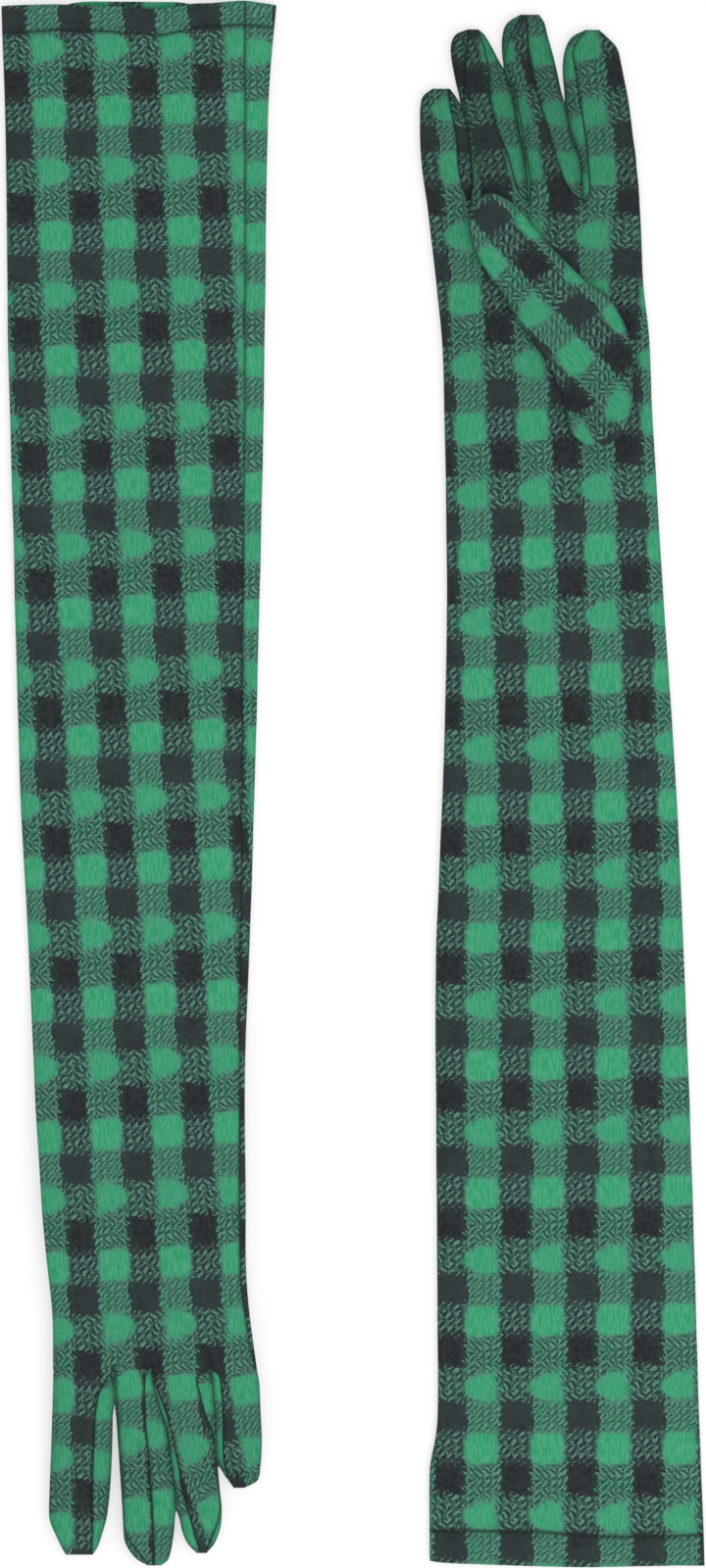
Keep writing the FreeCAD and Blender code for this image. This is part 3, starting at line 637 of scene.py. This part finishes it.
def makeThumb(glove):
    side = glove["side"]
    last = len(thumb["rows"]) - 1
    edges = [smoothLine([(k, row[c]) for k, row in enumerate(thumb["rows"])]) for c in range(4)]
    across, along = thumb["across"], thumb["along"]
    path = [(1, s) for s in spread(-1, 1, across)] + [(-1, s) for s in spread(1, -1, across)] + [(1, -1)]
    shiftX, shiftY = thumb["shift"][side]
    turn = math.radians(thumb["printTurn"])
    originX, originY = thumb["printAt"]
    much, size = thumb["soft"]

    def place(j, ply, s):
        t = last * (0.5 - 0.5 * math.cos(math.pi * j / along))
        lx, ly, rx, ry = [edge(t) for edge in edges]
        share = (s + 1) / 2
        x, y = lx + (rx - lx) * share, ly + (ry - ly) * share
        ends = crown(max(0, 1 - t / 1.6), 2.4) * crown(max(0, 1 - (last - t) / 1.9), 2.4)
        level = thumb["half"] * crown(s, thumb["square"]) * ends
        level += much * ripple(x, y, glove["seed"] + 2 * ply, size) * crown(s, 3) * ends
        dx, dy = (x if ply > 0 else 2 * rx - x) - originX, y - originY
        # on the upper face the check of the lowest corner is shifted, as that corner is folded its own way
        leaf = ease(163, 152, y) * ease(0.1, -0.7, s) if ply > 0 else 0
        u = (dx * math.cos(turn) + dy * math.sin(turn)) / thumb["column"] - 0.24 * leaf
        v = thumb["printRow"] + (dy * math.cos(turn) - dx * math.sin(turn)) / thumb["row"]
        # a painted shadow along both edges of the thumb where it lies on the palm; elsewhere the thumb takes a share
        # of the hand's painted darkening
        shade = max(glove["handShade"] * 0.6, 0.7 * ease(0.88, 1.0, abs(s)))
        return x + shiftX, y + shiftY, thumb["level"][side] + ply * level, u, v, shade

    piece = layCloth(glove, f"{side}_thumb_cloth", range(along + 1), lambda j: path, place)
    register(piece, glove, ["thumb"], ["thumb"])
    return piece


thumbSeam = {
    "centre": {"right": (106, 165), "left": (110, 165)}, "level": {"right": 7.6, "left": 6.5},
    "size": (17, 29), "width": 2.4, "height": 0.9, "around": 8, "steps": 56,
}


def makeThumbSeam(glove):
    # the turned-in edges where the thumb joins the palm, an oval round the thumb's hole
    side = glove["side"]
    wide, long = thumbSeam["size"]
    x, y = thumbSeam["centre"][side]
    bm = bmesh.new()
    bmesh.ops.create_circle(bm, segments=thumbSeam["around"], radius=0.5)
    bmesh.ops.scale(bm, vec=(thumbSeam["width"], thumbSeam["height"], 1), verts=bm.verts)
    bmesh.ops.rotate(bm, verts=bm.verts, cent=(0, 0, 0), matrix=Matrix.Rotation(math.pi / 2, 3, "X"))
    bmesh.ops.translate(bm, verts=bm.verts, vec=(wide / 2, 0, 0))
    bmesh.ops.spin(bm, geom=bm.edges[:], cent=(0, 0, 0), axis=(0, 0, 1), angle=2 * math.pi,
                   steps=thumbSeam["steps"], use_merge=True)
    bmesh.ops.remove_doubles(bm, verts=bm.verts, dist=0.001)
    bmesh.ops.scale(bm, vec=(1, long / wide, 1), verts=bm.verts)
    bmesh.ops.translate(bm, verts=bm.verts, vec=(x, y, thumbSeam["level"][side]))
    bmesh.ops.scale(bm, vec=(mm, mm, mm), verts=bm.verts)
    layTurned(bm, glove)
    bmesh.ops.recalc_face_normals(bm, faces=bm.faces)
    printOn(bm, lambda vert: (vert.co.x / mm / jerseyLook["repeat"], vert.co.y / mm / jerseyLook["row"]))
    piece = makePiece(f"{side}_thumb_seam_welt", bm)
    register(piece, glove, ["hand"], ["thumb_seam"])
    return piece


def turnedIn(glove, y, ply, x, leg):
    # a point of the hem's turned-in cloth, just inside the sleeve
    px, py, z, u, v, shade = trunkPoint(glove, y, ply, x, leg)
    foldV = trunkPoint(glove, hemLine, ply, x, leg)[4]  # the check carries on round the fold
    left, right = sides(glove, y)
    middle, reach = (left + right) / 2, (right - left) / 2
    deep, less, run = hem["inwards"]
    inwards = deep - less * (1 - ease(0, run, y - hemLine))
    centre = glove["centreAt"](y)
    z = centre + ply * max(0.05, abs(z - centre) - inwards)
    return middle + (px - middle) * (1 - inwards / reach), py, z, u, 2 * foldV - v, 0


def makeHemTurning(glove):
    side = glove["side"]
    rows = [hemLine + d for d in hem["turnedRows"]]
    piece = layCloth(glove, f"{side}_hem_turning_cloth", rows, partial(ringPath, glove), partial(turnedIn, glove))
    register(piece, glove, ["upper_sleeve"], ["hem_turning"])
    glove["turningDepth"] * mm
    return piece


def makeHemStitches(glove):
    # short running stitches that hold the turned hem, all the way round
    side = glove["side"]
    y = hemLine + hem["depth"]
    trail = [Vector(trunkPoint(glove, y, *spot)[:3]) for spot in ringPath(glove, y)]
    run = [0.0]
    for a, b in zip(trail, trail[1:]):
        run.append(run[-1] + (b - a).length)
    bm = bmesh.new()
    count = int(run[-1] / hem["stitchPitch"])
    size = Matrix.Diagonal((*hem["stitchSize"], 1))
    along = Vector((0, 1, 0))
    for n in range(count):
        goal = (n + 0.5) * run[-1] / count
        k = max(m for m in range(len(run) - 1) if run[m] <= goal)
        forward = (trail[k + 1] - trail[k]).normalized()
        spot = trail[k].lerp(trail[k + 1], (goal - run[k]) / (run[k + 1] - run[k]))
        out = forward.cross(along) * -1
        made = bmesh.ops.create_uvsphere(bm, u_segments=6, v_segments=5, radius=0.5)
        frameOf = Matrix((forward, along, out)).transposed().to_4x4()
        matrix = Matrix.Translation(spot + out * hem["stitchLift"]) @ frameOf @ size
        bmesh.ops.transform(bm, matrix=matrix, verts=made["verts"])
    bmesh.ops.scale(bm, vec=(mm, mm, mm), verts=bm.verts)
    layTurned(bm, glove)
    bmesh.ops.recalc_face_normals(bm, faces=bm.faces)
    for face in bm.faces:
        face.smooth = True
    piece = makePiece(f"{side}_hem_stitches", bm)
    register(piece, glove, ["upper_sleeve"], ["hem_stitching"])
    return piece


allowance = {
    "reach": 5.2, "across": 12, "edgeGap": 2.2, "inwards": 1.35, "dip": (1.0, 1.3), "shade": (0.6, 0.6),
    "afterHem": 12.5, "beforeFingers": 6,
}


def makeAllowance(glove, name, rows, bodies, nodes, fold):
    # both raw edges of the side seam, pressed open inside the tube
    side, ply = glove["side"], glove["seamPly"]
    count, reach, gap = allowance["across"], allowance["reach"], allowance["edgeGap"]

    def lineAt(y, off):
        return max(glove["left"](y) + gap, glove["sideSeamAt"](y) + off * (1 - 0.6 * ease(226, 250, y)))

    def place(y, off):
        left, right = sides(glove, y)
        x = lineAt(y, off)
        across = acrossAt(x, left, right)
        level = tube["halfAt"](y) * crown(across, tube["square"]) - allowance["inwards"]
        level -= bells(off, [allowance["dip"]])
        u, v = printAt(glove, x, y)
        z = glove["centreAt"](y) + ply * max(0.4, level)
        # painted shade along the pressed-open seam
        return x, y, z, u, v, bells(off, [allowance["shade"]])

    length = (rows[-1] - rows[0]) * mm
    drawn = sum(lineAt(y, reach) - lineAt(y, -reach) for y in rows) / len(rows) * mm
    offs = [(reach * (2 * k / count - 1) * ply,) for k in range(count + 1)]
    piece = layCloth(glove, f"{side}_{name}", rows, lambda y: offs, place, cloth["seamWall"])
    register(piece, glove, bodies, nodes, fold)
    drawn * length
    return piece


def makeInsides(glove):
    sleeveRows = rowsBetween(hemLine + allowance["afterHem"], halfway, tube["insideStep"])
    handRows = rowsBetween(halfway, knuckles - allowance["beforeFingers"], tube["insideStep"])
    return [
        makeHemTurning(glove),
        makeAllowance(glove, "sleeve_seam_allowance", sleeveRows, ["upper_sleeve", "forearm"],
                      ["upper_sleeve_side_seam", "forearm_side_seam"], elbowFold),
        makeAllowance(glove, "hand_seam_allowance", handRows, ["forearm", "hand"], ["hand_side_seam"], wristFold),
    ]


def tint(red, green, blue):
    # a colour as the eye reads it, 0 to 255, made linear for a shader
    def linear(c):
        c /= 255
        return c / 12.92 if c <= 0.04045 else ((c + 0.055) / 1.055) ** 2.4
    return (linear(red), linear(green), linear(blue), 1)


def joining(operation, swapped=False):
    return lambda self, other: self.math(operation, *((other, self) if swapped else (self, other)))


class Wire:
    # one socket of a material, so that plain arithmetic adds its Math nodes
    def __init__(self, finish, socket):
        self.finish, self.socket = finish, socket

    def math(self, operation, *values):
        return self.finish.node("ShaderNodeMath", {"operation": operation}, dict(enumerate(values or (self,))))

    __add__, __radd__ = joining("ADD"), joining("ADD", True)
    __sub__, __rsub__ = joining("SUBTRACT"), joining("SUBTRACT", True)
    __mul__, __rmul__ = joining("MULTIPLY"), joining("MULTIPLY", True)
    __truediv__, __rtruediv__ = joining("DIVIDE"), joining("DIVIDE", True)
    __pow__ = joining("POWER")
    least, most, wrap = joining("MINIMUM"), joining("MAXIMUM"), joining("FLOORED_MODULO")
    def __abs__(self): return self.math("ABSOLUTE")
    def part(self, axis): return self.finish.node("ShaderNodeSeparateXYZ", {}, {0: self}, axis)
    def floor(self): return self.math("FLOOR", self)
    def clip(self): return self.least(1).most(0)

    def step(self, low, high):
        # 0 below low, 1 above high, soft between
        limits = {"Value": self, "From Min": low, "From Max": high}
        return self.finish.node("ShaderNodeMapRange", {"interpolation_type": "SMOOTHSTEP"}, limits)


class Finish:
    # the nodes of a material or a world
    def __init__(self, owner):
        self.owner = owner
        owner.use_nodes = True
        self.tree = owner.node_tree
        self.tree.nodes.clear()

    def node(self, kind, settings, inputs, output=0):
        made = self.tree.nodes.new(kind)
        for key, value in settings.items():
            setattr(made, key, value)
        for key, value in inputs.items():
            if isinstance(value, Wire):
                self.tree.links.new(value.socket, made.inputs[key])
            else:
                made.inputs[key].default_value = value
        return Wire(self, made.outputs[output]) if made.outputs else None

    def mix(self, share, first, second):
        return self.node("ShaderNodeMix", {"data_type": "RGBA"}, {0: share, 6: first, 7: second}, 2)

    def noise(self, vector, scale, detail=2.0, rough=0.5):
        inputs = {"Vector": vector, "Scale": scale, "Detail": detail, "Roughness": rough}
        return self.node("ShaderNodeTexNoise", {"noise_dimensions": "2D"}, inputs)

    def pair(self, x, y):
        return self.node("ShaderNodeCombineXYZ", {}, {0: x, 1: y})

    def grey(self, level):
        return self.node("ShaderNodeCombineColor", {}, {0: level, 1: level, 2: level})


jerseyLook = {
    "green": (44, 157, 107), "greenSoft": (76, 169, 128), "greenPointed": (62, 148, 113),
    "black": (25, 36, 39), "blackWarm": (45, 45, 49), "blackLight": (50, 64, 65),
    "crossBase": (27, 61, 54), "crossFleck": (97, 142, 127), "crossSpot": (140, 176, 164),
    "crossBaseClean": (23, 51, 48), "crossFleckClean": (96, 134, 122),
    "greyGreen": (97, 146, 128), "darkFleck": (30, 76, 63), "darkFleckLight": (38, 94, 74), "fringe": (74, 157, 120),
    # the dark colour of the painted shade, and how far the painted shade goes towards it
    "rim": (34, 66, 58), "seamDark": (20, 34, 30), "seamShare": 0.75,
    "repeat": 27.6, "row": 27.35, "twills": 8, "dashes": 4,
    "squareHalf": 0.24, "squareReach": 0.232, "bandTop": 0.296, "bandFoot": 0.200, "darkHalf": 0.258,
    "ribPitch": 0.85, "roughness": 0.88, "sheen": (0.06, 0.5), "specular": 0.25, "bump": (0.25, 0.0003),
}


def jerseyFlecks(made, look, u, v, cell, across, upward, fibre):
    # 0 to 1, dark to light: short dashes that lean one way and the other over a repeat
    pointedRow = 1 - abs(upward - 0.04).step(0.26, 0.34)
    deepRow = 1 - abs(upward - 0.55).step(0.20, 0.28)
    lean = 0.4 - pointedRow * (across * 2.2 + 0.4) + deepRow * (across * 1.6 - (upward - 0.55) * 1.6 - 0.4)
    lean = lean + (made.noise(cell, 0.22, 1.0) - 0.5) * 1.6
    patch = lean.step(-0.12, 0.12)  # where the flecks lean one way and where the other
    sway = made.noise(cell, 0.35, 1.0) * 0.7
    circle = 2 * math.pi
    twills = look["twills"] + 2 - ((u + 0.25).wrap(1) - 0.5).step(-0.001, 0.001) * 2  # finer in the green columns

    def dashesAlong(over, ahead):
        # waves across, each line broken at places of its own
        wave = over * twills + sway
        line = wave.floor().wrap(twills)
        own = made.node("ShaderNodeTexWhiteNoise", {"noise_dimensions": "1D"}, {"W": line})
        broken = ((ahead * look["dashes"] + own) * circle).math("SINE")
        return (wave * circle).math("SINE") * (broken * 1.3 + 0.8).clip()

    dashUp, dashDown = dashesAlong(u - v, u + v), dashesAlong(u + v, u - v)
    rank = ((u * twills + sway) * circle).math("SINE")
    blotch = made.noise(cell, 0.55, 1.0) - 0.5
    return (dashUp * patch + dashDown * (1 - patch)) * 0.40 + rank * 0.06 + blotch * 0.35 + 0.48 + fibre * 0.8


def jerseyFinish(name, look):
    made = Finish(bpy.data.materials.new(name))
    uv = made.node("ShaderNodeUVMap", {"uv_map": "print"}, {})
    u, v = uv.part("X"), uv.part("Y")
    x, y = u * look["repeat"], v * look["row"]  # mm on the cloth
    flat = made.pair(x, y)
    # one woven repeat is a column wide and two rows high, with its flecks in the same places
    cellX, cellY = (u + 0.25).wrap(1) * look["repeat"], (v + 0.75).wrap(2) * look["row"]
    cell = made.pair(cellX, cellY)
    fibre = made.noise(flat, 1.5, 2.0, 0.6) - 0.5
    wobble = made.noise(cell, 0.33, 2.0, 0.6) - 0.5
    across = u - (u + 0.5).floor()
    along = v - (v + 0.5).floor()
    upward = (v + 0.5).wrap(2) - 0.5  # 0 amid a pointed row, 1 amid a clean one
    clean = (v + 0.5).wrap(2).step(0.995, 1.005)  # 0 in a pointed row, 1 in a clean one
    lightRow = abs(upward - 0.5).step(0.45, 0.55)
    slant = jerseyFlecks(made, look, u, v, cell, across, upward, fibre)
    # the print's edges fray along the flecks
    fray = (slant - 0.5) * 0.09 + fibre * 0.07
    tatter = (0.46 - slant) * 0.10 + fibre * 0.05
    sideways, lengthways = across + wobble * 0.08, along + wobble * 0.08
    # a pointed square is an arrowhead to the left, steeper below
    topReach = (1 - (1 - ((sideways + 0.273) * 2.0).clip()) ** 1.6) * 0.17 + 0.066
    footReach = ((sideways + 0.273) * 4.9).clip() * 0.155 + 0.082
    above = lengthways.step(-0.01, 0.01)
    reach = clean * look["squareReach"] + (1 - clean) * (above * topReach + (1 - above) * footReach)
    width = look["squareHalf"] + (1 - clean) * (1 - sideways.step(-0.05, 0.05)) * 0.035
    square = ((abs(sideways) / width) ** 4 + (abs(lengthways - clean * 0.022) / reach) ** 4) ** 0.25
    flame = (made.noise(made.pair(cellX * 1.2, cellY * 0.15), 1.0, 1.0) - 0.5) * (1 - clean) * above * 0.2
    uneven = (made.noise(flat, 0.3, 2.0, 0.6) - 0.5) * (1 - clean) * 0.16
    square = square * 0.25 - 0.25 + fray + flame + uneven
    square = 1 - square.step((clean - 1) * 0.045 - 0.036, (1 - clean) * 0.02 + 0.040)
    # the flecks of a row stop short above, and thin out slowly below
    rowTop = (lengthways - look["bandTop"] + clean * 0.004 + tatter).step(-0.026, 0.026)
    rowFoot = tatter * 1.6 - look["bandFoot"] + clean * 0.065 - lengthways
    rowFoot = rowFoot.step(clean * -0.06 - 0.045, clean * 0.06 + 0.045)
    rowIn = 1 - rowTop.most(rowFoot)
    blackIn = abs(sideways - 0.026 - lightRow * 0.012) - look["darkHalf"] + lightRow * 0.016 + tatter
    blackIn = blackIn.step(-0.028, 0.030)
    streak = made.noise(made.pair(x * 1.1, y * 0.2), 1.0)
    cloud = made.noise(flat, 0.12, 2.0, 0.6)
    nap = made.noise(flat, 0.45, 2.0, 0.6)

    def between(share, first, second):
        return made.mix(share, tint(*look[first]), tint(*look[second]))

    green = between(streak.step(0.36, 0.64), "greenSoft", "green")
    green = made.mix((1 - clean) * 0.25, green, tint(*look["greenPointed"]))
    black = between(nap.step(0.36, 0.64), "black", "blackWarm")
    black = made.mix((lightRow * 0.5 + (cloud - 0.48) * 1.2).clip(), black, tint(*look["blackLight"]))
    crossDark = between(clean, "crossBase", "crossBaseClean")
    crossLight = between(clean, "crossFleck", "crossFleckClean")
    cross = made.mix(slant.step(0.26, 0.94), crossDark, crossLight)
    toSpot = made.pair((u + 0.41 + 0.5).wrap(1) - 0.5, upward - 0.295)
    spot = made.node("ShaderNodeVectorMath", {"operation": "LENGTH"}, {0: toSpot}, 1)
    cross = made.mix((1 - spot.step(0.01, 0.045)) * 0.55, cross, tint(*look["crossSpot"]))
    greyDark = between(lightRow, "darkFleck", "darkFleckLight")
    greyLight = between(cloud.step(0.46, 0.78), "greyGreen", "fringe")
    grey = made.mix(slant.step(0.20, 0.88), greyDark, greyLight)
    ground = made.mix(blackIn, grey, made.mix(rowIn, black, cross))
    rim = (1 - abs(abs(across) - 0.30).step(0.01, 0.05)) * (1 - slant.step(0.35, 0.75)) * 0.6
    ground = made.mix(rim, ground, tint(*look["rim"]))
    colour = made.mix(square, ground, green)
    mottle = made.grey(fibre * 0.45 + 1.0)
    multiply = {"data_type": "RGBA", "blend_type": "MULTIPLY"}
    colour = made.node("ShaderNodeMix", multiply, {0: 1.0, 6: colour, 7: mottle}, 2)
    # painted shade: the print is darkened towards one dark colour by each point's painted-shade value, set at seam
    # grooves, the hem's stitch line, the thumb's and fingers' edges, between fingers and along the seam allowances;
    # the same value also paints the hand darker towards the fingertips
    shade = made.node("ShaderNodeAttribute", {"attribute_name": "seamShade"}, {}, 2)
    colour = made.mix(shade * look["seamShare"], colour, tint(*look["seamDark"]))
    rib = (x * (2 * math.pi / look["ribPitch"])).math("SINE")
    relief = rib * 0.25 + slant * 1.0 + streak * 0.6 + fibre * 0.8
    strength, depth = look["bump"]
    bump = made.node("ShaderNodeBump", {}, {"Strength": strength, "Distance": depth, "Height": relief})
    sheen, sheenRough = look["sheen"]
    shader = made.node("ShaderNodeBsdfPrincipled", {}, {
        "Base Color": colour, "Roughness": look["roughness"], "Sheen Weight": sheen, "Sheen Roughness": sheenRough,
        "Specular IOR Level": look["specular"], "Normal": bump})
    made.node("ShaderNodeOutputMaterial", {}, {"Surface": shader})
    return made.owner


threadLook = {"dark": (16, 44, 36), "light": (34, 84, 66), "twist": 900.0, "roughness": 0.6, "bump": (0.3, 0.0002)}


def threadFinish(name, look):
    made = Finish(bpy.data.materials.new(name))
    place = made.node("ShaderNodeTexCoord", {}, {}, 3)
    wave = {"Vector": place, "Scale": look["twist"], "Distortion": 1.0}
    twist = made.node("ShaderNodeTexWave", {"bands_direction": "DIAGONAL"}, wave, 1)
    colour = made.mix(twist, tint(*look["dark"]), tint(*look["light"]))
    strength, depth = look["bump"]
    bump = made.node("ShaderNodeBump", {}, {"Strength": strength, "Distance": depth, "Height": twist})
    inputs = {"Base Color": colour, "Roughness": look["roughness"], "Normal": bump}
    shader = made.node("ShaderNodeBsdfPrincipled", {}, inputs)
    made.node("ShaderNodeOutputMaterial", {}, {"Surface": shader})
    return made.owner


allPieces = []
for glove, fingers in ((rightGlove, rightFingers), (leftGlove, leftFingers)):
    allPieces += makeSleeve(glove)
    prepareFingers(glove, fingers)
    for key in fingers:
        allPieces += makeFinger(glove, fingers, key)
    print(glove["side"], "fingers sewn")
    allPieces += [makeThumb(glove), makeThumbSeam(glove), makeHemStitches(glove), *makeInsides(glove)]
    print(glove["side"], "thumb, hem and inner seams done")

checkJersey = jerseyFinish("check_jersey", jerseyLook)
fourchetteJersey = jerseyFinish("fourchette_jersey", jerseyLook)
sewingThread = threadFinish("sewing_thread", threadLook)
for piece in allPieces:
    finish = fourchetteJersey if "fourchette" in piece.name else checkJersey
    if "stitches" in piece.name:
        finish = sewingThread
    piece.data.materials.append(finish)
print("cloth and thread dressed")


studio = {
    "floorWidth": 8.0, "floorColour": (0.5, 0.5, 0.5, 1), "floorGlow": 0.56, "worldLevel": 0.5,
    "lampSize": 2.4, "lampAt": (0.4, -0.5, 2.2), "lampWatts": 34,
    "cameraHeight": 3.0, "frameHeight": 0.672, "sensor": 36,
}


def makeFloor():
    # white paper, whose glow is only seen and lights nothing
    bm = bmesh.new()
    bmesh.ops.create_grid(bm, x_segments=1, y_segments=1, size=studio["floorWidth"] / 2)
    floor = makePiece("floor", bm)
    paper = Finish(bpy.data.materials.new("paper"))
    seen = paper.node("ShaderNodeLightPath", {}, {})
    rays = seen.socket.node.outputs
    look = seen.most(Wire(paper, rays["Is Glossy Ray"])).most(Wire(paper, rays["Is Transmission Ray"]))
    matt = paper.node("ShaderNodeBsdfDiffuse", {}, {"Color": studio["floorColour"]})
    glow = paper.node("ShaderNodeEmission", {}, {"Color": (1, 1, 1, 1), "Strength": look * studio["floorGlow"]})
    both = paper.node("ShaderNodeAddShader", {}, {0: matt, 1: glow})
    paper.node("ShaderNodeOutputMaterial", {}, {"Surface": both})
    floor.data.materials.append(paper.owner)


def makeStudio():
    makeFloor()
    world = Finish(bpy.data.worlds.new("studio"))
    bpy.context.scene.world = world.owner
    sky = world.node("ShaderNodeBackground", {}, {"Color": (1, 1, 1, 1), "Strength": studio["worldLevel"]})
    white = world.node("ShaderNodeBackground", {}, {})
    seen = world.node("ShaderNodeLightPath", {}, {})
    both = world.node("ShaderNodeMixShader", {}, {0: seen, 1: sky, 2: white})
    world.node("ShaderNodeOutputWorld", {}, {"Surface": both})

    lamp = bpy.data.lights.new("softbox", "AREA")
    lamp.size = studio["lampSize"]
    lamp.energy = studio["lampWatts"]
    softbox = setDown("softbox", lamp)
    softbox.location = studio["lampAt"]
    softbox.rotation_euler = (-softbox.location).to_track_quat("-Z", "Y").to_euler()

    lens = bpy.data.cameras.new("camera")
    lens.sensor_width = studio["sensor"]
    lens.lens = studio["sensor"] * studio["cameraHeight"] / studio["frameHeight"]
    camera = setDown("camera", lens)
    camera.location = (0, 0, studio["cameraHeight"])
    bpy.context.scene.camera = camera
    bpy.context.scene.view_settings.view_transform = "Standard"


makeStudio()
print("studio set")
